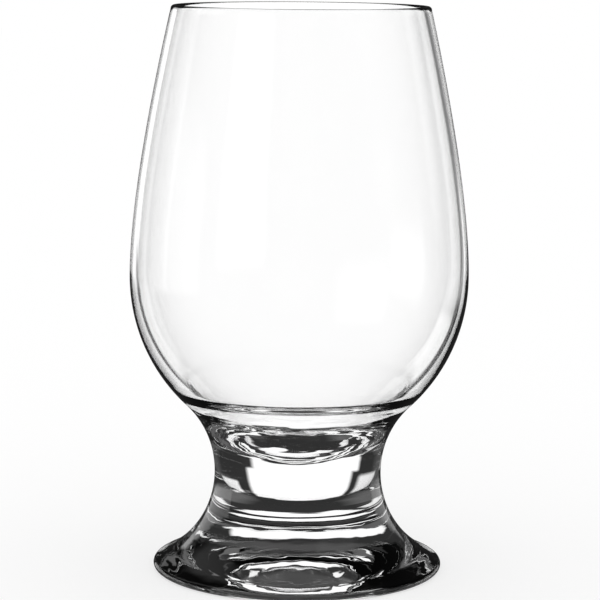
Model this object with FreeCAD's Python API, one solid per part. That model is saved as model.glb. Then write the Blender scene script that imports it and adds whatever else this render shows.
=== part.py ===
import FreeCAD
import Part
import math
import os

# A stemmed beer glass of clear soda-lime glass, turned about the Z axis, with its resting plane at zero.
# The rounded bottom of a blown bowl is welded into the hollowed top of a short solid stem, and the stem to a foot.
# Every length is in millimetres.

# Overall sizes
goblet_height = 132.0
rim_diameter = 60.0
bowl_diameter = 79.0
widest_height = 69.2
waist_diameter = 39.2
foot_diameter = 68.0

# Bowl: the wall leans in to the rim, and the lower half is one round curve
rim_lean = math.radians(13.0)
bowl_round = 41.0
rim_wall = 1.7
belly_wall = 1.8
belly_lift = 2.3            # the cavity is widest a little above the widest place outside
cavity_round = 39.0
knee_height = 42.4          # here the cavity's side turns in to its rounded bottom
bottom_thickness = 3.0      # glass between the drink and the weld, on the axis
rim_handle_share = 0.35     # how far the wall stays straight, as a share of its height
belly_handle_share = 0.25
knee_handle_share = 0.47    # how far the side runs on below the knee, as a share of the depth there
floor_handle_share = 0.40   # how far the floor stays level, as a share of the knee's radius

# Weld between bowl and stem: a round seat whose edge shows outside at the weld height
weld_height = 29.8
seat_depth = 5.3

# Foot: a pressed disc with a neck that meets the stem, hollowed under, with a ground resting ring
foot_weld_height = 18.3
foot_edge_round = 1.0
resting_ring_width = 6.0
punt_depth = 4.4

# Radii and heights that follow from the sizes above
rim_radius = rim_diameter / 2
bowl_radius = bowl_diameter / 2
waist_radius = waist_diameter / 2
foot_radius = foot_diameter / 2
lip_round = rim_wall / 2
lip_height = goblet_height - lip_round
bowl_centre = (bowl_radius - bowl_round, widest_height)
foot_edge_centre = (foot_radius - foot_edge_round, foot_edge_round)


def waist_curve():
    """Height of the waist and radius of its hollow curve, which touches the bowl's curve and the foot's edge."""
    reach = waist_radius - bowl_centre[0]
    bowl_gap = bowl_round - reach
    foot_gap = foot_edge_centre[0] - waist_radius
    foot_sum = foot_gap + foot_edge_round
    square = foot_sum - bowl_gap
    linear = 2 * (bowl_gap * foot_edge_centre[1] - foot_sum * widest_height)
    rest = foot_sum * (widest_height ** 2 - bowl_round ** 2 + reach ** 2) - bowl_gap * foot_gap ** 2
    # The usual root formula, turned over so that it also holds where the square term vanishes
    height = 2 * rest / (-linear + math.sqrt(linear ** 2 - 4 * square * rest))
    radius = ((widest_height - height) ** 2 - bowl_round ** 2 + reach ** 2) / (2 * bowl_gap)
    return height, radius


waist_height, waist_round = waist_curve()
waist_centre = (waist_radius + waist_round, waist_height)


def waist_at(height):
    """Point of the waist's hollow curve at a height."""
    inset = math.sqrt(waist_round ** 2 - (height - waist_height) ** 2)
    return (waist_centre[0] - inset, height)


def towards(start, end, length):
    """Point at a length from start on the straight line to end."""
    share = length / math.dist(start, end)
    return (start[0] + (end[0] - start[0]) * share, start[1] + (end[1] - start[1]) * share)


def vector(place):
    """A (radius, height) place as a point of the half plane that is turned."""
    return FreeCAD.Vector(place[0], 0, place[1])


def line(start, end):
    return Part.LineSegment(vector(start), vector(end)).toShape()


def arc(centre, start, end):
    """Arc about centre, the short way round from start to end."""
    radius = math.dist(centre, start)
    half_way = ((start[0] + end[0]) / 2, (start[1] + end[1]) / 2)
    return Part.Arc(vector(start), vector(towards(centre, half_way, radius)), vector(end)).toShape()


def smooth_curve(start, start_handle, end_handle, end):
    """Curve that leaves start towards its handle and reaches end from its handle."""
    curve = Part.BezierCurve()
    curve.setPoles([vector(place) for place in (start, start_handle, end_handle, end)])
    return curve.toShape()


def leaning_wall(lip, widest):
    """Side wall between the lip, where it leans by the rim's angle, and the widest place, where it is upright."""
    rise = lip[1] - widest[1]
    run = rim_handle_share * rise
    lip_handle = (lip[0] + run * math.sin(rim_lean), lip[1] - run * math.cos(rim_lean))
    return smooth_curve(lip, lip_handle, (widest[0], widest[1] + belly_handle_share * rise), widest)


def rounded_bottom(side_centre, knee, floor):
    """Bottom of the cavity between the knee, where it carries on the side's arc, and the level floor on the axis."""
    run = knee_handle_share * (knee[1] - floor[1]) / math.dist(side_centre, knee)
    outwards = (knee[0] - side_centre[0], knee[1] - side_centre[1])
    knee_handle = (knee[0] + run * outwards[1], knee[1] - run * outwards[0])
    return smooth_curve(knee, knee_handle, (floor_handle_share * knee[0], floor[1]), floor)


def turned(edges):
    """Solid made by turning a closed outline about the Z axis."""
    face = Part.Face(Part.Wire(edges))
    full_turn = math.degrees(2 * math.pi)
    return face.revolve(FreeCAD.Vector(), FreeCAD.Vector(0, 0, 1), full_turn)


def dome_centre(edge, crown):
    """Centre on the axis of the arc through an edge point and a crown height on the axis."""
    rise = crown - edge[1]
    radius = (edge[0] ** 2 + rise ** 2) / (2 * rise)
    return (0, crown - radius)


weld_outside = waist_at(weld_height)
seat_bottom = (0, weld_height - seat_depth)
foot_weld_outside = waist_at(foot_weld_height)


def seat():
    """Round seat where the bowl's bottom is fused into the stem's top."""
    return arc(dome_centre(weld_outside, seat_bottom[1]), weld_outside, seat_bottom)


def bowl():
    """Blown bowl with its fire-polished lip, thin above and thick in its rounded bottom."""
    widest = (bowl_radius, widest_height)
    lip_outside = (rim_radius, lip_height)
    lip_inside = (rim_radius - rim_wall, lip_height)
    shoulder = towards(bowl_centre, waist_centre, bowl_round)

    inside_widest = (bowl_radius - belly_wall, widest_height + belly_lift)
    side_centre = (inside_widest[0] - cavity_round, inside_widest[1])
    knee_inset = math.sqrt(cavity_round ** 2 - (knee_height - side_centre[1]) ** 2)
    knee = (side_centre[0] + knee_inset, knee_height)
    floor = (0, seat_bottom[1] + bottom_thickness)

    return turned([
        line(seat_bottom, floor),
        rounded_bottom(side_centre, knee, floor),
        arc(side_centre, knee, inside_widest),
        leaning_wall(lip_inside, inside_widest),
        Part.Arc(vector(lip_inside), vector((rim_radius - lip_round, goblet_height)),
                 vector(lip_outside)).toShape(),
        leaning_wall(lip_outside, widest),
        arc(bowl_centre, widest, shoulder),
        arc(waist_centre, shoulder, weld_outside),
        seat(),
    ])


def stem():
    """Short solid stem, drawn in to the waist, with the round seat in its top."""
    return turned([
        line((0, foot_weld_height), seat_bottom),
        seat(),
        arc(waist_centre, weld_outside, foot_weld_outside),
        line(foot_weld_outside, (0, foot_weld_height)),
    ])


def foot():
    """Pressed foot: a flared disc with a rounded edge, a flat resting ring and a domed hollow inside the ring."""
    edge_top = towards(foot_edge_centre, waist_centre, foot_edge_round)
    ring_outside = (foot_edge_centre[0], 0)
    ring_inside = (ring_outside[0] - resting_ring_width, 0)
    return turned([
        line((0, punt_depth), (0, foot_weld_height)),
        line((0, foot_weld_height), foot_weld_outside),
        arc(waist_centre, foot_weld_outside, edge_top),
        arc(foot_edge_centre, edge_top, ring_outside),
        line(ring_outside, ring_inside),
        arc(dome_centre(ring_inside, punt_depth), ring_inside, (0, punt_depth)),
    ])


os.makedirs("parts", exist_ok=True)
for name, solid in (("bowl", bowl()), ("stem", stem()), ("foot", foot())):
    solid.exportStep("parts/" + name + ".step")
    print(name, "valid", solid.isValid(), "solids", len(solid.Solids), "volume", round(solid.Volume))
print("waist height", round(waist_height, 2), "waist curve radius", round(waist_round, 2))
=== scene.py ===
import math

import bmesh
import bpy
from mathutils import Matrix, Vector
from mathutils.geometry import interpolate_bezier


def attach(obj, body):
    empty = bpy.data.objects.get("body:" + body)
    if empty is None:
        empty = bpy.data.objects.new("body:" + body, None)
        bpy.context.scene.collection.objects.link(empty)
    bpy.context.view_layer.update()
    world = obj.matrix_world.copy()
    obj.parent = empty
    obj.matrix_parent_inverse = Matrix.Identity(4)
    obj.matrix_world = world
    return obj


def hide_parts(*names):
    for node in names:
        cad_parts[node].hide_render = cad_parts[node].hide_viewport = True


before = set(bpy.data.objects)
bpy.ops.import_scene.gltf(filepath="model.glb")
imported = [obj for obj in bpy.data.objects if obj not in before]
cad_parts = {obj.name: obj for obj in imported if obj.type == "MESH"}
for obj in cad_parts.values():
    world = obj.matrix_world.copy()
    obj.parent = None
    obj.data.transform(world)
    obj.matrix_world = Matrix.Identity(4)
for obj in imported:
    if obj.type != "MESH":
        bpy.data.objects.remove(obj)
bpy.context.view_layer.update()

mm = 0.001

# The bowl is blown from clear soda-lime glass, thin at the rim and thick in its rounded bottom. Its lip is
# melted smooth in a flame. The bottom is pressed hot into the hollowed top of the stem, so the two are one
# glass there. Each piece is an outline of (radius, height) places, turned about the goblet's axis.
goblet_height = 132.0 * mm
rim_radius = 30.0 * mm
rim_lean = math.radians(13.0)
rim_wall = 1.7 * mm
rim_handle_share = 0.35         # how far the wall stays straight below the lip, as a share of its height
belly_handle_share = 0.25
widest = Vector((39.5 * mm, 69.2 * mm))
widest_inside = Vector((37.7 * mm, 70.5 * mm))
bowl_round = 41.0 * mm
cavity_round = 39.0 * mm
ledge_height = 44.5 * mm        # the cavity's side ends here, in a faint ledge above the thick bottom
knee = Vector((24.67 * mm, 42.4 * mm))   # the rounded bottom starts here, at the knee's slope
knee_slope = math.radians(45.0)
knee_turn = 1.2 * mm
knee_handle_share = 0.40        # how far the bottom runs straight below the knee, as a share of its depth
floor_handle_share = 0.45       # how far the floor stays level, as a share of the knee's radius
bottom_thickness = 3.0 * mm
weld_height = 29.8 * mm
seat_depth = 5.3 * mm
turn_steps = 256
curve_points = 49
bend_points = 16

# The waist is one hollow curve that touches the bowl's round above and the foot's edge below.
waist = Vector((19.6 * mm, 22.89 * mm))
waist_round = 22.84 * mm
waist_centre = Vector((waist.x + waist_round, waist.y))


def arc(centre, start, end, steps):
    """Points after start, the short way round centre to end."""
    spoke = start - centre
    sweep = spoke.angle_signed(end - centre)
    return [centre + Matrix.Rotation(-sweep * i / steps, 2) @ spoke for i in range(1, steps + 1)]


def towards(start, end, length):
    """Point at a length from start on the straight line to end."""
    return start + (end - start).normalized() * length


def waist_at(height):
    """Point of the waist's hollow curve at a height."""
    return Vector((waist_centre.x - math.sqrt(waist_round ** 2 - (height - waist.y) ** 2), height))


def leaning_wall(lip, low):
    """Side wall from the lip, where it leans by the rim's angle, down to its upright, widest place."""
    rise = lip.y - low.y
    lean = Vector((math.sin(rim_lean), -math.cos(rim_lean)))
    lip_handle = lip + lean * rim_handle_share * rise
    low_handle = low + Vector((0, belly_handle_share * rise))
    return interpolate_bezier(lip, lip_handle, low_handle, low, curve_points)


def dome(edge, crown, steps):
    """Points from the axis at the crown's height out to the edge."""
    rise = crown - edge.y
    radius = (edge.x ** 2 + rise ** 2) / (2 * rise)
    return [Vector((0, crown))] + arc(Vector((0, crown - radius)), Vector((0, crown)), edge, steps)


def shown(name, bm):
    """Object made from a finished bmesh."""
    mesh = bpy.data.meshes.new(name)
    bm.to_mesh(mesh)
    bm.free()
    piece = bpy.data.objects.new(name, mesh)
    bpy.context.collection.objects.link(piece)
    return piece


def turned(name, outline, welded):
    """Turns an outline that starts and ends on the axis. Faces inside a weld get the second material."""
    merge_gap = 1e-7
    weld_gap = 1e-6
    bm = bmesh.new()
    verts = [bm.verts.new((place.x, 0, place.y)) for place in outline]
    for start, end in zip(verts, verts[1:]):
        bm.edges.new((start, end))
    bmesh.ops.spin(bm, geom=bm.verts[:] + bm.edges[:], axis=(0, 0, 1), cent=(0, 0, 0),
                   angle=2 * math.pi, steps=turn_steps, use_merge=True)
    bmesh.ops.remove_doubles(bm, verts=bm.verts, dist=merge_gap)
    bmesh.ops.dissolve_degenerate(bm, edges=bm.edges, dist=merge_gap)
    bmesh.ops.recalc_face_normals(bm, faces=bm.faces)
    in_weld = set()
    for vert in bm.verts:
        place = Vector((vert.co.xy.length, vert.co.z))
        if any((place - point).length < weld_gap for point in welded):
            in_weld.add(vert)
    for face in bm.faces:
        face.smooth = True
        face.material_index = int(all(vert in in_weld for vert in face.verts))
    for edge in bm.edges:
        if len({face.material_index for face in edge.link_faces}) > 1:
            edge.smooth = False
    return shown(name, bm)


def number(tree, operation, *values):
    """Output of a Math node fed by numbers and other nodes' outputs."""
    node = tree.nodes.new("ShaderNodeMath")
    node.operation = operation
    for socket, value in zip(node.inputs, values):
        if isinstance(value, (int, float)):
            socket.default_value = value
        else:
            tree.links.new(value, socket)
    return node.outputs[0]


def step_up(tree, value, place, soft):
    """Zero below a place and one above it, with a soft edge."""
    step = tree.nodes.new("ShaderNodeMapRange")
    step.interpolation_type = "SMOOTHSTEP"
    tree.links.new(value, step.inputs["Value"])
    step.inputs["From Min"].default_value = place - soft
    step.inputs["From Max"].default_value = place + soft
    return step.outputs[0]


def band(tree, value, low, high, soft):
    """One between low and high, with soft edges, and zero outside."""
    below_high = number(tree, "SUBTRACT", 1, step_up(tree, value, high, soft))
    return number(tree, "MULTIPLY", step_up(tree, value, low, soft), below_high)


def ripples(tree, place, height, stretch, depth, seed, low, high, soft):
    """Smooth ripples left in the hot glass between two heights, as a relief in metres."""
    mapping = tree.nodes.new("ShaderNodeMapping")
    mapping.inputs["Location"].default_value = (seed, seed, seed)
    mapping.inputs["Scale"].default_value = stretch
    tree.links.new(place, mapping.inputs["Vector"])
    noise = tree.nodes.new("ShaderNodeTexNoise")
    noise.inputs["Scale"].default_value = 1.0
    noise.inputs["Detail"].default_value = 1.0
    tree.links.new(mapping.outputs[0], noise.inputs["Vector"])
    relief = number(tree, "MULTIPLY", noise.outputs["Fac"], depth)
    return number(tree, "MULTIPLY", relief, band(tree, height, low, high, soft))


def clear_glass(*rippled):
    """Clear glass whose kinds of ripples are added up in one bump."""
    material = bpy.data.materials.new("clear glass")
    material.use_nodes = True
    tree = material.node_tree
    place = tree.nodes.new("ShaderNodeTexCoord").outputs["Object"]
    split = tree.nodes.new("ShaderNodeSeparateXYZ")
    tree.links.new(place, split.inputs[0])
    reliefs = [ripples(tree, place, split.outputs["Z"], **kind) for kind in rippled]
    relief = reliefs[0]
    for other in reliefs[1:]:
        relief = number(tree, "ADD", relief, other)
    bump = tree.nodes.new("ShaderNodeBump")
    bump.inputs["Distance"].default_value = 1.0
    tree.links.new(relief, bump.inputs["Height"])
    shader = tree.nodes["Principled BSDF"]
    tree.links.new(bump.outputs[0], shader.inputs["Normal"])
    shader.inputs["Base Color"].default_value = (1, 1, 1, 1)
    shader.inputs["Roughness"].default_value = 0.0
    shader.inputs["IOR"].default_value = 1.5
    shader.inputs["Transmission Weight"].default_value = 1.0
    return material


def fused_glass():
    """See-through faces inside a weld, where the glass of two pieces is one."""
    material = bpy.data.materials.new("fused glass")
    material.use_nodes = True
    tree = material.node_tree
    tree.nodes.clear()
    clear = tree.nodes.new("ShaderNodeBsdfTransparent")
    out = tree.nodes.new("ShaderNodeOutputMaterial")
    tree.links.new(clear.outputs[0], out.inputs[0])
    return material


weld_outside = waist_at(weld_height)
seat_bottom = weld_height - seat_depth
seat = dome(weld_outside, seat_bottom, steps=40)
lip_round = rim_wall / 2
lip_outside = Vector((rim_radius, goblet_height - lip_round))
lip_inside = lip_outside - Vector((rim_wall, 0))
lip_top = lip_outside + Vector((-lip_round, lip_round))
lip_centre = lip_outside - Vector((lip_round, 0))
bowl_centre = widest - Vector((bowl_round, 0))
shoulder = towards(bowl_centre, waist_centre, bowl_round)
side_centre = widest_inside - Vector((cavity_round, 0))
ledge_drop = ledge_height - side_centre.y
ledge = side_centre + Vector((math.sqrt(cavity_round ** 2 - ledge_drop ** 2), ledge_drop))
outwards = (ledge - side_centre).normalized()
down_side = Vector((outwards.y, -outwards.x))
into_bottom = Vector((-math.cos(knee_slope), -math.sin(knee_slope)))
ledge_handle = ledge + down_side * knee_turn
ledge_end_handle = knee - into_bottom * knee_turn
floor_low = Vector((0, seat_bottom + bottom_thickness))
knee_handle = knee + into_bottom * knee_handle_share * (knee.y - floor_low.y)
floor_handle = floor_low + Vector((floor_handle_share * knee.x, 0))

bowl_outline = list(seat)
bowl_outline += arc(waist_centre, weld_outside, shoulder, steps=20)
bowl_outline += arc(bowl_centre, shoulder, widest, steps=40)
bowl_outline += leaning_wall(lip_outside, widest)[-2::-1]
bowl_outline += arc(lip_centre, lip_outside, lip_top, steps=8)
bowl_outline += arc(lip_centre, lip_top, lip_inside, steps=8)
bowl_outline += leaning_wall(lip_inside, widest_inside)[1:]
bowl_outline += arc(side_centre, widest_inside, ledge, steps=32)
bowl_outline += interpolate_bezier(ledge, ledge_handle, ledge_end_handle, knee, bend_points)[1:]
bowl_outline += interpolate_bezier(knee, knee_handle, floor_handle, floor_low, curve_points)[1:]

bowl_glass = turned("bowl_glass", bowl_outline, seat)
glass = clear_glass(
    dict(stretch=(60, 60, 25), depth=0.06 * mm, seed=3.0, low=30 * mm, high=140 * mm, soft=10 * mm),
    dict(stretch=(130, 130, 600), depth=0.14 * mm, seed=7.0, low=28.5 * mm, high=41 * mm, soft=3 * mm),
    dict(stretch=(170, 170, 420), depth=0.13 * mm, seed=11.0, low=-1 * mm, high=14 * mm, soft=4 * mm))
fused = fused_glass()
bowl_glass.data.materials.append(glass)
bowl_glass.data.materials.append(fused)
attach(bowl_glass, "root")
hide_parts("bowl")

# The stem is a short solid drum of the same glass, drawn in to a waist while it was hot. The bowl's bottom is
# fused into the round seat in its top, and its flat underside is fused to the foot.
foot_weld_height = 18.3 * mm
foot_weld_outside = waist_at(foot_weld_height)
foot_weld_middle = Vector((0, foot_weld_height))
foot_weld = [foot_weld_outside, foot_weld_middle]

stem_outline = list(seat)
stem_outline += arc(waist_centre, weld_outside, waist, steps=20)
stem_outline += arc(waist_centre, waist, foot_weld_outside, steps=16)
stem_outline += [foot_weld_middle]

stem_glass = turned("stem_glass", stem_outline, seat + foot_weld)
stem_glass.data.materials.append(glass)
stem_glass.data.materials.append(fused)
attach(stem_glass, "root")
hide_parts("stem")

# The foot is a pressed disc of the same glass with a neck that is welded to the stem. It flares to a rounded
# edge, stands on a flat ring just inside that edge, and is hollowed under.
foot_radius = 34.0 * mm
edge_round = 1.0 * mm
ring_width = 6.0 * mm
punt_depth = 4.4 * mm
edge_centre = Vector((foot_radius - edge_round, edge_round))
edge_top = towards(edge_centre, waist_centre, edge_round)
edge_side = edge_centre + Vector((edge_round, 0))
ring_outside = edge_centre - Vector((0, edge_round))
ring_inside = ring_outside - Vector((ring_width, 0))

foot_outline = [foot_weld_middle, foot_weld_outside]
foot_outline += arc(waist_centre, foot_weld_outside, edge_top, steps=48)
foot_outline += arc(edge_centre, edge_top, edge_side, steps=8)
foot_outline += arc(edge_centre, edge_side, ring_outside, steps=8)
foot_outline += [ring_inside]
foot_outline += dome(ring_inside, punt_depth, steps=24)[-2::-1]

foot_glass = turned("foot_glass", foot_outline, foot_weld)
foot_glass.data.materials.append(glass)
foot_glass.data.materials.append(fused)
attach(foot_glass, "root")
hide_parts("foot")

# The studio has a white floor and backdrop, white screens at the sides and beside the camera, and black flags
# between them. Glass shows only what it bends into view, so the flags draw its edges and the screens keep it
# clear from every side. Azimuths are 0 behind the goblet and -90 at its left, in degrees.
flag_level = 0.03
screens_through = [
    dict(left=-34, right=22, low=-7, high=17, soft=2, level=1.15),          # backdrop
    dict(left=-29, right=26, low=-52, high=-3, soft=2, level=1.15),         # its sweep down to the floor
    dict(left=36, right=60, low=-38, high=-20, soft=2, level=1.0),          # low cards at the back
    dict(left=-61, right=-36, low=-37, high=-13, soft=3, level=0.95),
    dict(left=-107, right=-73, low=-14, high=10, soft=4, level=1.0),        # left screen
    dict(left=117, right=153, low=-28, high=-2, soft=4, level=1.0),         # screen beside the camera
    dict(left=-120, right=-55, low=-60, high=40, soft=14, level=0.13),      # dim walls and ceiling
    dict(left=60, right=125, low=-60, high=40, soft=14, level=0.14),
    dict(left=-60, right=60, low=30, high=80, soft=12, level=0.08),
]
screens_mirrored = [
    dict(left=-80, right=-25, low=-9, high=14, soft=2, level=1.0),          # left screen
    dict(left=27, right=60, low=-12, high=8, soft=3, level=0.9),            # right screen
    dict(left=-75, right=-35, low=28, high=60, soft=8, level=0.4),          # dim light from above
    dict(left=100, right=150, low=20, high=60, soft=10, level=0.3),
]
floor_reach = 3.0
floor_drop = 0.1 * mm
floor_glow = 0.6


def studio_level(tree, screens):
    """Brightness of the studio by direction: the brightest screen there, or the flags' level."""
    direction = tree.nodes.new("ShaderNodeTexCoord")
    split = tree.nodes.new("ShaderNodeSeparateXYZ")
    tree.links.new(direction.outputs["Generated"], split.inputs[0])
    azimuth = number(tree, "ARCTAN2", split.outputs["X"], split.outputs["Y"])
    azimuth = number(tree, "MULTIPLY", azimuth, math.degrees(1))
    elevation = number(tree, "ARCSINE", split.outputs["Z"])
    elevation = number(tree, "MULTIPLY", elevation, math.degrees(1))
    brightest = flag_level
    for screen in screens:
        across = band(tree, azimuth, screen["left"], screen["right"], screen["soft"])
        upright = band(tree, elevation, screen["low"], screen["high"], screen["soft"])
        share = number(tree, "MULTIPLY", across, upright)
        brightest = number(tree, "MAXIMUM", brightest, number(tree, "MULTIPLY", share, screen["level"]))
    return brightest


world = bpy.data.worlds.new("studio")
bpy.context.scene.world = world
world.use_nodes = True
tree = world.node_tree
tree.nodes.clear()
path = tree.nodes.new("ShaderNodeLightPath")
studio = tree.nodes.new("ShaderNodeBackground")
studio.inputs["Color"].default_value = (1, 1, 1, 1)
# A ray that the glass lets through counts as mirrored too, so the screens seen through it are mixed in last.
for ray, screens in (("Is Glossy Ray", screens_mirrored), ("Is Transmission Ray", screens_through)):
    pattern = tree.nodes.new("ShaderNodeBackground")
    tree.links.new(studio_level(tree, screens), pattern.inputs["Color"])
    mix = tree.nodes.new("ShaderNodeMixShader")
    tree.links.new(path.outputs[ray], mix.inputs[0])
    tree.links.new(studio.outputs[0], mix.inputs[1])
    tree.links.new(pattern.outputs[0], mix.inputs[2])
    studio = mix
out = tree.nodes.new("ShaderNodeOutputWorld")
tree.links.new(studio.outputs[0], out.inputs[0])

bm = bmesh.new()
bmesh.ops.create_grid(bm, x_segments=1, y_segments=1, size=floor_reach,
                      matrix=Matrix.Translation((0, 0, -floor_drop)))
floor = shown("studio_floor", bm)
floor.visible_transmission = False
floor.visible_glossy = False
white_floor = bpy.data.materials.new("white floor")
white_floor.use_nodes = True
tree = white_floor.node_tree
shader = tree.nodes["Principled BSDF"]
shader.inputs["Base Color"].default_value = (1, 1, 1, 1)
shader.inputs["Roughness"].default_value = 1.0
shader.inputs["Specular IOR Level"].default_value = 0.0
glow = tree.nodes.new("ShaderNodeEmission")
mix = tree.nodes.new("ShaderNodeMixShader")
mix.inputs[0].default_value = floor_glow
tree.links.new(shader.outputs[0], mix.inputs[1])
tree.links.new(glow.outputs[0], mix.inputs[2])
tree.links.new(mix.outputs[0], tree.nodes["Material Output"].inputs["Surface"])
floor.data.materials.append(white_floor)

# The camera stands a little above the rim's height and looks down at the goblet from about half a metre.
camera_distance = 566.5 * mm
camera_height = 149.0 * mm
camera_pitch = math.radians(90 - 8.58)
camera_roll = 0.0080
picture_width = 600
camera = bpy.data.objects.new("camera", bpy.data.cameras.new("camera"))
bpy.context.collection.objects.link(camera)
camera.data.sensor_width = 36
camera.data.lens = 147
camera.data.shift_x = 1 / picture_width      # one pixel
camera.data.clip_start = 0.01
camera.matrix_world = (Matrix.Translation((0, -camera_distance, camera_height))
                       @ Matrix.Rotation(camera_pitch, 4, "X") @ Matrix.Rotation(camera_roll, 4, "Z"))
bpy.context.scene.camera = camera
bpy.context.scene.view_settings.view_transform = "Standard"
